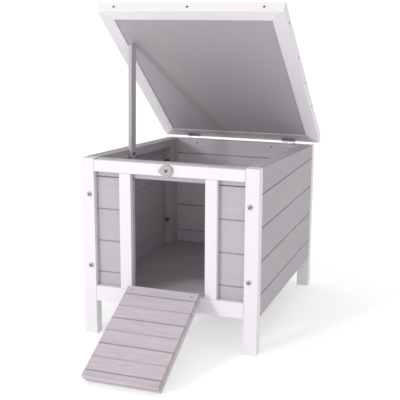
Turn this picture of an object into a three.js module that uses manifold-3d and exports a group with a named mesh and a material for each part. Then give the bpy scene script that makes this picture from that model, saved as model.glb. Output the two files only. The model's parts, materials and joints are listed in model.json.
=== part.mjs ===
import * as THREE from 'three';
import { mergeVertices } from 'three/addons/utils/BufferGeometryUtils.js';
import Module from 'manifold-3d';

// Rabbit hutch with a lift-up lid, a prop stay and a ramp that folds up to close the doorway.
// Millimetres, +Z up, +X to the right of someone facing the doorway, the doorway faces -Y.

const wasm = await Module();
wasm.setup();

// Overall sizes of the body, which is a little lower at the rear
const bodyWidth = 400;
const bodyDepth = 520;
const frontHeight = 400;
const rearDrop = 25;

// Clearances
const gap = 0.3;
const boltClearance = 0.3;
const pinClearance = 0.3;

// Frame
const postWidth = 30;
const postCover = 0.7;
const frameThick = 13;
const topRailHeight = 25;
const topRailDrop = 4;
const bottomRailHeight = 35;
const legClearance = 79;
const stileWidth = 26.5;
const doorWidth = 168;

// Boards, laid in the same number of rows all round
const boardThick = 10;
const boardRows = 5;
const boardChamfer = 1.5;
const tongueThick = 3;
const tongueHeight = 3;
const headerHeight = 41.6;
const frontFirstBoard = 64.6;
const sideFirstBoard = 49.6;
const rearFirstBoard = 41.7;
const floorThick = 11.5;
const floorPitch = 91;
const floorFirstBoard = 91.7;
const floorVee = 1;

// Battens inside the corners and along the tops of the sides
const battenThick = 20;
const cornerBattenWidth = 45;
const topBattenHeight = 20;

// Bolts that hold the corners
const boltRadius = 3;
const boltHeadRadius = 5.4;
const boltCrownRadius = 4;
const boltHeadHeight = 3;
const boltInset = 19;
const lowerBoltHeight = 160;
const upperBoltDrop = 80;
const nutRadius = 5.8;
const nutHeight = 5;
const nutSides = 6;
const boltEnd = 3;

// Lid
const lidOverhang = 12.5;
const lidFrontOverhang = 1.5;
const lidMemberWidth = 31;
const lidThick = 23;
const lidRecess = 2;
const lidPanelThick = 17;
const lidOpenAngle = 38.9;

// Hinges
const leafThick = 1.2;
const leafGap = 0.2;
const knuckleRadius = 2.6;
const hingePinRadius = 1.2;
const hingeWidth = 35;
const hingeMiddle = 12;
const lidLeafLength = 21;
const lidHingeInset = 69;
const lidPinSetback = 3.5;
const rampLeafLength = 17;
const rampHingeInset = 29;

// Stay that props the lid up
const stayThick = 8;
const stayWidth = 25;
const stayLean = 2;
const stayFootY = 191;
const stayTopClearance = 0.4;
const stayScrewRadius = 2;
const stayScrewHeadRadius = 4;
const stayScrewHeadHeight = 2;

// Ramp
const rampSideClearance = 3.5;
const rampTopClearance = 2.7;
const rampHeaderClearance = 1.5;
const rampDeckThick = 11.5;
const rampBattenThick = 12;
const rampBattenWidth = 28;
const rampCleatWidth = 30;
const rampTipRebate = 3;
const rampPinForward = 10.2;
const rampEndGap = 3;
const rampPitch = 70;
const rampFirstBoard = 25;
const rampVee = 1.6;

// Turn button that holds the ramp shut
const buttonRadius = 13;
const buttonReach = 18;
const buttonTipRadius = 2.5;
const buttonThick = 6;
const buttonDrop = 12;
const buttonDip = 7;
const buttonScrewRadius = 2;
const buttonScrewHeadRadius = 3.4;
const buttonScrewHeadHeight = 1;
const buttonScrewDepth = 9;

const roundSides = 20;

// Finishes
const finish = (color, roughness, metalness = 0) => (
  new THREE.MeshStandardMaterial({ color, roughness, metalness })
);
const whitePaint = finish(0xf4f1f6, 0.55);
const greyPaint = finish(0xc4bec4, 0.7);
const greySide = finish(0xaca6ac, 0.7);
const lidGrey = finish(0x9c989c, 0.65);
const steel = finish(0xb9bcc2, 0.3, 1);
const copper = finish(0xb8875a, 0.35, 1);
const greyPlastic = finish(0x8d8a90, 0.5);

// ---------- solids ----------

const hutch = new THREE.Group();

function addPiece(parent, name, geometry, material) {
  const mesh = new THREE.Mesh(geometry, material.clone());
  mesh.name = name;
  parent.add(mesh);
  return mesh;
}

function circlePoints(u, v, radius) {
  return Array.from({ length: roundSides }, (_, index) => {
    const angle = (index * 2 * Math.PI) / roundSides;
    return new THREE.Vector2(u + radius * Math.cos(angle), v + radius * Math.sin(angle));
  });
}

function extrude(points, length, holes = []) {
  const shape = new THREE.Shape(points.map(([u, v]) => new THREE.Vector2(u, v)));
  for (const { u, v, radius } of holes) {
    shape.holes.push(new THREE.Path(circlePoints(u, v, radius)));
  }
  return new THREE.ExtrudeGeometry(shape, { depth: length, bevelEnabled: false });
}

// An outline of [y, z] points pulled along X
function alongX(points, x0, x1) {
  const geometry = extrude(points, x1 - x0);
  const axes = new THREE.Matrix4().makeBasis(
    new THREE.Vector3(0, 1, 0),
    new THREE.Vector3(0, 0, 1),
    new THREE.Vector3(1, 0, 0),
  );
  return geometry.applyMatrix4(axes).translate(x0, 0, 0);
}

// An outline of [x, z] points pulled along Y, with round holes given in x and z
function alongY(points, y0, y1, holes = []) {
  const turned = points.map(([x, z]) => [z, x]);
  const turnedHoles = holes.map(({ x, z, radius }) => ({ u: z, v: x, radius }));
  const geometry = extrude(turned, y1 - y0, turnedHoles);
  const axes = new THREE.Matrix4().makeBasis(
    new THREE.Vector3(0, 0, 1),
    new THREE.Vector3(1, 0, 0),
    new THREE.Vector3(0, 1, 0),
  );
  return geometry.applyMatrix4(axes).translate(0, y0, 0);
}

// An outline of [x, y] points pulled along Z
function alongZ(points, z0, z1) {
  return extrude(points, z1 - z0).translate(0, 0, z0);
}

function block(x0, x1, y0, y1, z0, z1) {
  return new THREE.BoxGeometry(x1 - x0, y1 - y0, z1 - z0)
    .translate((x0 + x1) / 2, (y0 + y1) / 2, (z0 + z1) / 2);
}

function rodAlongX(radius, x0, x1, y = 0, z = 0, sides = roundSides) {
  return new THREE.CylinderGeometry(radius, radius, x1 - x0, sides)
    .rotateZ(Math.PI / 2)
    .translate((x0 + x1) / 2, y, z);
}

function toManifold(geometry) {
  const bare = geometry.clone();
  bare.deleteAttribute('normal');
  bare.deleteAttribute('uv');
  const merged = mergeVertices(bare, 1e-4);
  const triangles = [];
  for (let i = 0; i < merged.index.count; i += 3) {
    const [a, b, c] = [0, 1, 2].map((step) => merged.index.getX(i + step));
    if (a !== b && b !== c && c !== a) {
      triangles.push(a, b, c);
    }
  }
  return new wasm.Manifold(new wasm.Mesh({
    numProp: 3,
    vertProperties: new Float32Array(merged.attributes.position.array),
    triVerts: new Uint32Array(triangles),
  }));
}

function fromManifold(solid) {
  const mesh = solid.getMesh();
  const geometry = new THREE.BufferGeometry();
  geometry.setAttribute('position', new THREE.BufferAttribute(mesh.vertProperties, 3));
  geometry.setIndex(new THREE.BufferAttribute(mesh.triVerts, 1));
  geometry.computeVertexNormals();
  return geometry;
}

function join(first, ...others) {
  const whole = others.reduce((sum, geometry) => sum.add(toManifold(geometry)), toManifold(first));
  return fromManifold(whole);
}

function cut(first, ...others) {
  const rest = others.reduce((left, geometry) => left.subtract(toManifold(geometry)), toManifold(first));
  return fromManifold(rest);
}

// ---------- places worked out from the sizes ----------

const halfWidth = bodyWidth / 2;
const postInner = halfWidth - postWidth;
const railEnd = postInner - gap;
const doorHalf = doorWidth / 2;
const slope = Math.atan2(rearDrop, bodyDepth);
const topAt = (y) => frontHeight - y * Math.tan(slope);

const frontBoardFace = frameThick + gap;
const postThick = frontBoardFace + boardThick + postCover;
const rearRailFace = bodyDepth - frameThick;
const rearBoardFace = rearRailFace - gap - boardThick;
const sideFront = postThick + gap;
const sideRear = bodyDepth - postThick - gap;
const battenOuter = halfWidth - boardThick - gap;
const battenInner = battenOuter - battenThick;

const topRailTop = frontHeight - topRailDrop;
const topRailBottom = topRailTop - topRailHeight;
const bottomRailTop = legClearance + bottomRailHeight;
const floorBottom = legClearance + gap;
const floorTop = floorBottom + floorThick;
const boardPitch = (frontHeight - legClearance - frontFirstBoard - headerHeight) / (boardRows - 2);
const boltHeights = { lower: lowerBoltHeight, upper: frontHeight - upperBoltDrop };
const boltX = halfWidth - boltInset;
const buttonHeight = topRailTop - buttonDrop;

const sides = [{ name: 'left', side: -1 }, { name: 'right', side: 1 }];

function inOrder(a, b) {
  return [Math.min(a, b), Math.max(a, b)];
}

// ---------- outlines of boards ----------

// Heights of the seams of a wall whose lowest board is "firstBoard" high
function wallSeams(firstBoard) {
  return Array.from({ length: boardRows - 1 }, (_, row) => legClearance + firstBoard + row * boardPitch);
}

function evenSeams(start, firstBoard, pitch, end) {
  const seams = [];
  for (let seam = start + firstBoard; seam < end - rampVee * 3; seam += pitch) {
    seams.push(seam);
  }
  return seams;
}

// One board: "deep" runs from the face that shows inwards, "high" runs up the wall
function boardOutline({ low, high, tongue, groove }) {
  const near = (boardThick - tongueThick) / 2;
  const far = near + tongueThick;
  const outline = [[0, low + boardChamfer], [boardChamfer, low]];
  if (groove) {
    const roof = low + tongueHeight + gap;
    outline.push([near - gap, low], [near - gap, roof], [far + gap, roof], [far + gap, low]);
  }
  outline.push([boardThick, low], [boardThick, high]);
  if (tongue) {
    const tip = high + tongueHeight;
    outline.push([far, high], [far, tip], [near, tip], [near, high]);
  }
  outline.push([boardChamfer, high], [0, high - boardChamfer]);
  return outline;
}

// Several boards fixed edge to edge, with a V where two of them meet
function panelOutline(low, high, seams, thick = boardThick, vee = boardChamfer) {
  const outline = [[thick, low], [thick, high], [vee, high], [0, high - vee]];
  for (const seam of [...seams].reverse()) {
    outline.push([0, seam + vee], [vee, seam], [0, seam - vee]);
  }
  outline.push([0, low + vee], [vee, low]);
  return outline;
}

// ---------- corner posts, front frame and rear frame ----------

function bolted(points, side, y0, y1) {
  const radius = boltRadius + boltClearance;
  const holes = Object.values(boltHeights).map((z) => ({ x: side * boltX, z, radius }));
  return alongY(points, y0, y1, holes);
}

function cornerPost(side, y0, y1, height) {
  const [x0, x1] = inOrder(side * postInner, side * halfWidth);
  return bolted([[x0, 0], [x1, 0], [x1, height], [x0, height]], side, y0, y1);
}

for (const { name, side } of sides) {
  const frontPost = cornerPost(side, 0, postThick, topAt(postThick));
  const rearPost = cornerPost(side, bodyDepth - postThick, bodyDepth, topAt(bodyDepth));
  const [x0, x1] = inOrder(side * doorHalf, side * (doorHalf + stileWidth));
  const stile = block(x0, x1, 0, frameThick, bottomRailTop + gap, topRailBottom - gap);
  addPiece(hutch, `front_${name}_post`, frontPost, whitePaint);
  addPiece(hutch, `rear_${name}_post`, rearPost, whitePaint);
  addPiece(hutch, `${name}_stile`, stile, whitePaint);
}

const frontTopRail = alongY([
  [-railEnd, topRailBottom],
  [railEnd, topRailBottom],
  [railEnd, topRailTop],
  [-railEnd, topRailTop],
], 0, frameThick, [{ x: 0, z: buttonHeight, radius: buttonScrewRadius + pinClearance }]);
const frontBottomRail = block(-railEnd, railEnd, 0, frameThick, legClearance, bottomRailTop);
const rearTopRail = alongX([
  [rearRailFace, topAt(bodyDepth) - topRailHeight],
  [bodyDepth, topAt(bodyDepth) - topRailHeight],
  [bodyDepth, topAt(bodyDepth)],
  [rearRailFace, topAt(rearRailFace)],
], -railEnd, railEnd);
const rearBottomRail = block(-railEnd, railEnd, rearRailFace, bodyDepth, legClearance, bottomRailTop);
addPiece(hutch, 'front_top_rail', frontTopRail, whitePaint);
addPiece(hutch, 'front_bottom_rail', frontBottomRail, whitePaint);
addPiece(hutch, 'rear_top_rail', rearTopRail, whitePaint);
addPiece(hutch, 'rear_bottom_rail', rearBottomRail, whitePaint);

// ---------- front boards: a header right across, and boards on both sides of the doorway ----------

function frontBoards(outline, x0, x1) {
  return alongX(outline.map(([deep, high]) => [frontBoardFace + deep, high]), x0, x1);
}

const headerLow = frontHeight - headerHeight;
const headerOutline = panelOutline(headerLow, topAt(frontBoardFace + boardThick), []);
addPiece(hutch, 'header_board', frontBoards(headerOutline, -railEnd, railEnd), greyPaint);
const besideDoor = panelOutline(legClearance, headerLow - gap, wallSeams(frontFirstBoard).slice(0, -1));
for (const { name, side } of sides) {
  const [x0, x1] = inOrder(side * doorHalf, side * railEnd);
  addPiece(hutch, `front_${name}_boards`, frontBoards(besideDoor, x0, x1), greyPaint);
}

// ---------- rear boards, with the V grooves on the inside ----------

const rearOutline = panelOutline(legClearance, topAt(rearRailFace), wallSeams(rearFirstBoard));
const rearBoards = alongX(
  rearOutline.map(([deep, high]) => [rearBoardFace + deep, high]), -railEnd, railEnd,
);
addPiece(hutch, 'rear_boards', rearBoards, greyPaint);

// ---------- sides: tongue and groove boards, two corner battens and a top batten between them ----------

const aboveTheSlope = alongX([
  [-bodyDepth, topAt(-bodyDepth)],
  [2 * bodyDepth, topAt(2 * bodyDepth)],
  [2 * bodyDepth, 2 * frontHeight],
  [-bodyDepth, 2 * frontHeight],
], -bodyWidth, bodyWidth);
const boardEdges = [legClearance, ...wallSeams(sideFirstBoard), frontHeight + boardChamfer];

function sideBoard(side, row) {
  const isBottom = row === 0;
  const isTop = row === boardRows - 1;
  const outline = boardOutline({
    low: boardEdges[row] + (isBottom ? 0 : gap / 2),
    high: boardEdges[row + 1] - (isTop ? 0 : gap / 2),
    tongue: !isTop,
    groove: !isBottom,
  });
  const points = outline.map(([deep, z]) => [side * (halfWidth - deep), z]);
  const board = alongY(points, sideFront, sideRear);
  return isTop ? cut(board, aboveTheSlope) : board;
}

function cornerBatten(side, y0, y1) {
  const [x0, x1] = inOrder(side * battenInner, side * battenOuter);
  const z0 = floorTop + gap;
  const z1 = frontHeight;
  return cut(bolted([[x0, z0], [x1, z0], [x1, z1], [x0, z1]], side, y0, y1), aboveTheSlope);
}

const topBattenFront = sideFront + cornerBattenWidth + gap;
const topBattenRear = sideRear - cornerBattenWidth - gap;

for (const { name, side } of sides) {
  for (let row = 0; row < boardRows; row += 1) {
    addPiece(hutch, `${name}_board_${row + 1}`, sideBoard(side, row), greySide);
  }
  const [x0, x1] = inOrder(side * battenInner, side * battenOuter);
  const topBatten = alongX([
    [topBattenFront, topAt(topBattenFront) - topBattenHeight],
    [topBattenRear, topAt(topBattenRear) - topBattenHeight],
    [topBattenRear, topAt(topBattenRear)],
    [topBattenFront, topAt(topBattenFront)],
  ], x0, x1);
  addPiece(hutch, `${name}_top_batten`, topBatten, greySide);
  const frontBatten = cornerBatten(side, sideFront, sideFront + cornerBattenWidth);
  const rearBatten = cornerBatten(side, sideRear - cornerBattenWidth, sideRear);
  addPiece(hutch, `front_${name}_batten`, frontBatten, greySide);
  addPiece(hutch, `rear_${name}_batten`, rearBatten, greySide);
}

// ---------- floor, which runs on into the doorway ----------

const floorSeams = evenSeams(sideFront, floorFirstBoard, floorPitch, sideRear - floorPitch / 4);
const floorOutline = panelOutline(sideFront, sideRear, floorSeams, floorThick, floorVee);
const floorField = alongX(floorOutline.map(([deep, y]) => [y, floorTop - deep]), -battenOuter, battenOuter);
const doorHalfInside = doorHalf - gap;
const doorTongue = block(
  -doorHalfInside, doorHalfInside, frontBoardFace, sideFront + floorThick, floorBottom, floorTop,
);
addPiece(hutch, 'floor_boards', join(floorField, doorTongue), greySide);

// ---------- corner bolts, each with its nut ----------

function boltWithNut(grip) {
  const headTop = -gap - boltHeadHeight;
  const nutStart = grip + gap;
  const tip = nutStart + nutHeight + boltEnd;
  const profile = [
    [0, headTop],
    [boltCrownRadius, headTop],
    [boltHeadRadius, headTop / 2],
    [boltHeadRadius, -gap],
    [boltRadius, -gap],
    [boltRadius, tip],
    [0, tip],
  ].map(([radius, y]) => new THREE.Vector2(radius, y));
  const nut = new THREE.CylinderGeometry(nutRadius, nutRadius, nutHeight, nutSides)
    .translate(0, nutStart + nutHeight / 2, 0);
  return join(new THREE.LatheGeometry(profile, roundSides), nut);
}

const boltGrip = postThick + gap + cornerBattenWidth;
for (const { name, side } of sides) {
  for (const [level, z] of Object.entries(boltHeights)) {
    const front = addPiece(hutch, `front_${name}_${level}_bolt`, boltWithNut(boltGrip), steel);
    front.position.set(side * boltX, 0, z);
    const rear = addPiece(hutch, `rear_${name}_${level}_bolt`, boltWithNut(boltGrip), steel);
    rear.position.set(side * boltX, bodyDepth, z);
    rear.rotation.z = Math.PI;
  }
}

// ---------- butt hinges ----------

// The pin lies along X at the origin and both leaves run towards +Y, each with its lower face
// at "low". The fixed leaf carries the pin and the two outer knuckles.
function fixedLeaf(length, low) {
  const half = hingeWidth / 2;
  const middle = hingeMiddle / 2;
  const plate = block(-half, half, 0, length, low, low + leafThick);
  const room = knuckleRadius + gap;
  const notch = block(-middle, middle, -room, room, -room, room);
  return join(
    cut(plate, notch),
    rodAlongX(knuckleRadius, -half, -middle),
    rodAlongX(knuckleRadius, middle, half),
    rodAlongX(hingePinRadius, -half, half),
  );
}

function movingLeaf(length, low) {
  const half = hingeWidth / 2;
  const middle = hingeMiddle / 2 - gap;
  const plate = block(-half, half, knuckleRadius + gap, length, low, low + leafThick);
  const neck = block(-middle, middle, 0, length, low, low + leafThick);
  const knuckle = rodAlongX(knuckleRadius, -middle, middle);
  return cut(join(plate, neck, knuckle), rodAlongX(hingePinRadius + pinClearance, -half, half));
}

// ---------- lid ----------

const lidLow = leafGap + leafThick + leafGap;
const lidHigh = lidLow + lidThick;
const lidOpen = THREE.MathUtils.degToRad(lidOpenAngle);
const lidPinY = bodyDepth + lidPinSetback;
const lidPinZ = topAt(lidPinY) + lidLow / Math.cos(slope);

const lidSeat = new THREE.Group();
lidSeat.position.set(0, lidPinY, lidPinZ);
lidSeat.rotation.x = -slope;
hutch.add(lidSeat);

const lid = new THREE.Group();
lid.position.set(0, lidPinY, lidPinZ);
lid.rotation.x = -lidOpen;
hutch.add(lid);

// The leaves of the lid run forwards, so each is turned about Z
for (const { name, side } of sides) {
  const x = side * (halfWidth - lidHingeInset);
  const fixed = fixedLeaf(lidLeafLength, -leafGap - leafThick).rotateZ(Math.PI).translate(x, 0, 0);
  const moving = movingLeaf(lidLeafLength, leafGap).rotateZ(Math.PI).translate(x, 0, 0);
  addPiece(lidSeat, `lid_${name}_hinge_fixed`, fixed, steel);
  addPiece(lid, `lid_${name}_hinge_moving`, moving, steel);
}

const lidFront = -(lidPinY + lidFrontOverhang) / Math.cos(slope);
const lidRear = -lidPinSetback;
const lidHalf = halfWidth + lidOverhang;
const panelFront = lidFront + lidMemberWidth;
const panelRear = lidRear - lidMemberWidth;
const panelHalf = lidHalf - lidMemberWidth;
const panelLow = lidLow + lidRecess;
const mitreGap = gap / Math.SQRT2;

const acrossTheLid = [
  { name: 'front', outer: lidFront, inner: panelFront, material: whitePaint },
  { name: 'rear', outer: lidRear, inner: panelRear, material: greyPaint },
];
for (const { name, outer, inner, material } of acrossTheLid) {
  const outerHalf = lidHalf - mitreGap;
  const innerHalf = panelHalf - mitreGap;
  const outline = [[-outerHalf, outer], [outerHalf, outer], [innerHalf, inner], [-innerHalf, inner]];
  addPiece(lid, `lid_${name}_member`, alongZ(outline, lidLow, lidHigh), material);
}
for (const { name, side } of sides) {
  const outline = [
    [side * lidHalf, lidFront + mitreGap],
    [side * lidHalf, lidRear - mitreGap],
    [side * panelHalf, panelRear - mitreGap],
    [side * panelHalf, panelFront + mitreGap],
  ];
  addPiece(lid, `lid_${name}_member`, alongZ(outline, lidLow, lidHigh), whitePaint);
}
const lidPanel = block(
  -panelHalf + gap, panelHalf - gap, panelFront + gap, panelRear - gap, panelLow, panelLow + lidPanelThick,
);
addPiece(lid, 'lid_panel', lidPanel, lidGrey);

// ---------- stay ----------

const lean = THREE.MathUtils.degToRad(stayLean);
const stayHalf = stayWidth / 2;
const stayFootZ = topAt(stayFootY) - topBattenHeight / 2;
const stayOuter = -battenInner + gap;
const stayInner = stayOuter + stayThick;

// Length above the screw at which the rear top corner comes just under the panel of the open lid
function stayReach() {
  const underPanel = (panelLow - stayTopClearance) / Math.cos(lidOpen);
  const run = lidPinY - stayFootY - stayHalf * Math.cos(lean);
  const rise = lidPinZ - stayFootZ + stayHalf * Math.sin(lean) + run * Math.tan(lidOpen) + underPanel;
  return rise / (Math.cos(lean) + Math.sin(lean) * Math.tan(lidOpen));
}

const stayLength = stayReach();
const roundFoot = Array.from({ length: roundSides / 2 + 1 }, (_, index) => {
  const angle = Math.PI + (index * 2 * Math.PI) / roundSides;
  return [stayHalf * Math.cos(angle), stayHalf * Math.sin(angle)];
});
const stayOutline = [...roundFoot, [stayHalf, stayLength], [-stayHalf, stayLength]];
const stayBar = cut(
  alongX(stayOutline, stayOuter, stayInner),
  rodAlongX(stayScrewRadius + pinClearance, stayOuter - gap, stayInner + gap),
);
const stayScrew = join(
  rodAlongX(stayScrewRadius, stayOuter, stayInner + gap + stayScrewHeadHeight / 2),
  rodAlongX(stayScrewHeadRadius, stayInner + gap, stayInner + gap + stayScrewHeadHeight),
);

const stay = new THREE.Group();
stay.position.set(0, stayFootY, stayFootZ);
stay.rotation.x = -lean;
hutch.add(stay);
addPiece(stay, 'stay', stayBar, greySide);
addPiece(stay, 'stay_screw', stayScrew, steel);

// ---------- ramp, which is also the door ----------

// In the group of the ramp +Z runs up the shut door and +Y runs into the hutch
const rampPinY = -rampPinForward;
const rampPinZ = bottomRailTop + gap;
const rampEnd = topRailBottom - rampTopClearance - rampPinZ;
const deckInner = frontBoardFace - rampHeaderClearance - rampPinY;
const deckOuter = deckInner - rampDeckThick;
const battenBack = deckOuter - gap;
const battenFront = battenBack - rampBattenThick;
const cleatEnd = rampEnd - rampTipRebate;
const cleatStart = cleatEnd - rampCleatWidth;
const rampHalf = doorHalf - rampSideClearance;

// Angle below the level at which the tip of the cleat just reaches the ground
function rampFall() {
  const reach = Math.hypot(cleatEnd, battenFront);
  return Math.asin((rampPinZ - gap) / reach) - Math.atan2(-battenFront, cleatEnd);
}

const ramp = new THREE.Group();
ramp.position.set(0, rampPinY, rampPinZ);
ramp.rotation.x = Math.PI / 2 + rampFall();
hutch.add(ramp);

const deckSeams = evenSeams(rampEndGap, rampFirstBoard, rampPitch, rampEnd);
const deckOutline = panelOutline(rampEndGap, rampEnd, deckSeams, rampDeckThick, rampVee);
const deck = alongX(deckOutline.map(([deep, z]) => [deckInner - deep, z]), -rampHalf, rampHalf);
addPiece(ramp, 'ramp_deck', deck, greyPaint);
const cleat = block(-rampHalf, rampHalf, battenFront, battenBack, cleatStart, cleatEnd);
addPiece(ramp, 'ramp_cleat', cleat, greyPaint);
for (const { name, side } of sides) {
  const [x0, x1] = inOrder(side * (rampHalf - rampBattenWidth), side * rampHalf);
  const batten = block(x0, x1, battenFront, battenBack, rampEndGap, cleatStart - gap);
  addPiece(ramp, `ramp_${name}_batten`, batten, greyPaint);
}

// The fixed leaves lie on the bottom rail, the moving ones on the end of the ramp
const rampSeat = new THREE.Group();
rampSeat.position.set(0, rampPinY, rampPinZ);
hutch.add(rampSeat);
for (const { name, side } of sides) {
  const x = side * (doorHalf - rampHingeInset);
  const fixed = fixedLeaf(rampLeafLength, 0).translate(x, 0, 0);
  const moving = movingLeaf(rampLeafLength, leafThick + gap).translate(x, 0, 0);
  addPiece(rampSeat, `ramp_${name}_hinge_fixed`, fixed, steel);
  addPiece(ramp, `ramp_${name}_hinge_moving`, moving, steel);
}

// ---------- turn button ----------

// A disc drawn out to a rounded tip that points along -X
function buttonOutline() {
  const tipCentre = buttonReach - buttonTipRadius;
  const tangent = Math.acos((buttonRadius - buttonTipRadius) / tipCentre);
  const arc = (centre, radius, from, to) => Array.from({ length: roundSides + 1 }, (_, index) => {
    const angle = from + ((to - from) * index) / roundSides;
    return [-centre - radius * Math.cos(angle), -radius * Math.sin(angle)];
  });
  return [
    ...arc(0, buttonRadius, tangent, 2 * Math.PI - tangent),
    ...arc(tipCentre, buttonTipRadius, -tangent, tangent),
  ];
}

const button = new THREE.Group();
button.position.set(0, 0, buttonHeight);
hutch.add(button);
const buttonHole = { x: 0, z: 0, radius: buttonScrewRadius + pinClearance };
const buttonPlate = alongY(buttonOutline(), -gap - buttonThick, -gap, [buttonHole]);
const turnButton = addPiece(button, 'turn_button', buttonPlate, greyPlastic);
turnButton.rotation.y = -THREE.MathUtils.degToRad(buttonDip);

const screwHeadBack = -2 * gap - buttonThick;
const screwHeadFront = screwHeadBack - buttonScrewHeadHeight;
const screwProfile = [
  [0, screwHeadFront],
  [buttonScrewRadius, screwHeadFront],
  [buttonScrewHeadRadius, screwHeadBack - buttonScrewHeadHeight / 2],
  [buttonScrewHeadRadius, screwHeadBack],
  [buttonScrewRadius, screwHeadBack],
  [buttonScrewRadius, buttonScrewDepth],
  [0, buttonScrewDepth],
].map(([radius, y]) => new THREE.Vector2(radius, y));
addPiece(button, 'turn_screw', new THREE.LatheGeometry(screwProfile, roundSides), copper);

// The origin is on the ground, at the middle of the open hutch
const middle = new THREE.Box3().setFromObject(hutch, true).getCenter(new THREE.Vector3());
hutch.position.y = -middle.y;

export default hutch;
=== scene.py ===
import json
import math

import bmesh
import bpy
from mathutils import Matrix, Vector


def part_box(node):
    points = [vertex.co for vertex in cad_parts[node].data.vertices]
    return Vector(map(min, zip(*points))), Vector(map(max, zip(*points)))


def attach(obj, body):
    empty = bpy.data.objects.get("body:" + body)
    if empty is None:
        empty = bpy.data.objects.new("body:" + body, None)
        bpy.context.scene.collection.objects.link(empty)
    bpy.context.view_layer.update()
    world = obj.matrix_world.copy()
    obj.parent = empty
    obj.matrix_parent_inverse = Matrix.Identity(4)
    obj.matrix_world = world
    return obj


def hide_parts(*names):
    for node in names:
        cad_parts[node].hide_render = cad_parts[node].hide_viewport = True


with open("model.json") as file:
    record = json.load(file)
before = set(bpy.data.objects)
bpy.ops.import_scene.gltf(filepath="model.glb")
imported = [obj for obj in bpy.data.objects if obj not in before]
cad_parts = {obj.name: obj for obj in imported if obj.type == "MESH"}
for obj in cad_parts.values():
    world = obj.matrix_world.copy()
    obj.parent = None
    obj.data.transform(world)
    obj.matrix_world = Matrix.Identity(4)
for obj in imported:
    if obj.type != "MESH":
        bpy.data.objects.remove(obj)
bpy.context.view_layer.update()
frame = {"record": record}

record = frame["record"]
bodyOf = {node: body for body, nodes in record["behaviour"]["bodies"].items() for node in nodes}
jointAt = {joint["name"]: Vector(joint["pos_m"]) for joint in record["behaviour"]["joints"]}
lidTilt = math.radians(38.9)      # how far the lid is turned up
rampTurn = math.radians(116.6)    # how far the ramp is turned down from its shut place


# small helpers for shader nodes

def addNode(tree, kind, place=(0, 0), **values):
    node = tree.nodes.new(kind)
    node.location = (place[0] * 200, place[1] * 200)
    for name, value in values.items():
        setattr(node, name, value)
    return node


def wire(tree, start, end):
    tree.links.new(start, end)


def maths(tree, operation, first, second=None, third=None, place=(0, 0), clamp=False):
    node = addNode(tree, "ShaderNodeMath", place, operation=operation, use_clamp=clamp)
    for socket, value in zip(node.inputs, (first, second, third)):
        if value is None:
            continue
        if hasattr(value, "is_output"):
            wire(tree, value, socket)
        else:
            socket.default_value = value
    return node.outputs[0]


def blendColours(tree, amount, under, over, place=(0, 0), mode="MIX"):
    node = addNode(tree, "ShaderNodeMix", place, data_type="RGBA", blend_type=mode)
    for socket, value in ((node.inputs[0], amount), (node.inputs[6], under), (node.inputs[7], over)):
        if hasattr(value, "is_output"):
            wire(tree, value, socket)
        elif isinstance(value, (int, float)):
            socket.default_value = value
        else:
            socket.default_value = (*value, 1)
    return node.outputs[2]


def spread(tree, value, low, high, newLow=0.0, newHigh=1.0, place=(0, 0)):
    node = addNode(tree, "ShaderNodeMapRange", place)
    wire(tree, value, node.inputs["Value"])
    for name, number in (("From Min", low), ("From Max", high), ("To Min", newLow), ("To Max", newHigh)):
        node.inputs[name].default_value = number
    return node.outputs[0]


def newGroup(name, inputs, outputs):
    tree = bpy.data.node_groups.new(name, "ShaderNodeTree")
    for label, kind, value in inputs:
        socket = tree.interface.new_socket(label, in_out="INPUT", socket_type=kind)
        if value is not None:
            socket.default_value = value
    for label, kind in outputs:
        tree.interface.new_socket(label, in_out="OUTPUT", socket_type=kind)
    return tree, addNode(tree, "NodeGroupInput", (-6, 0)), addNode(tree, "NodeGroupOutput", (8, 0))


# effects that several finishes share

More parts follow.
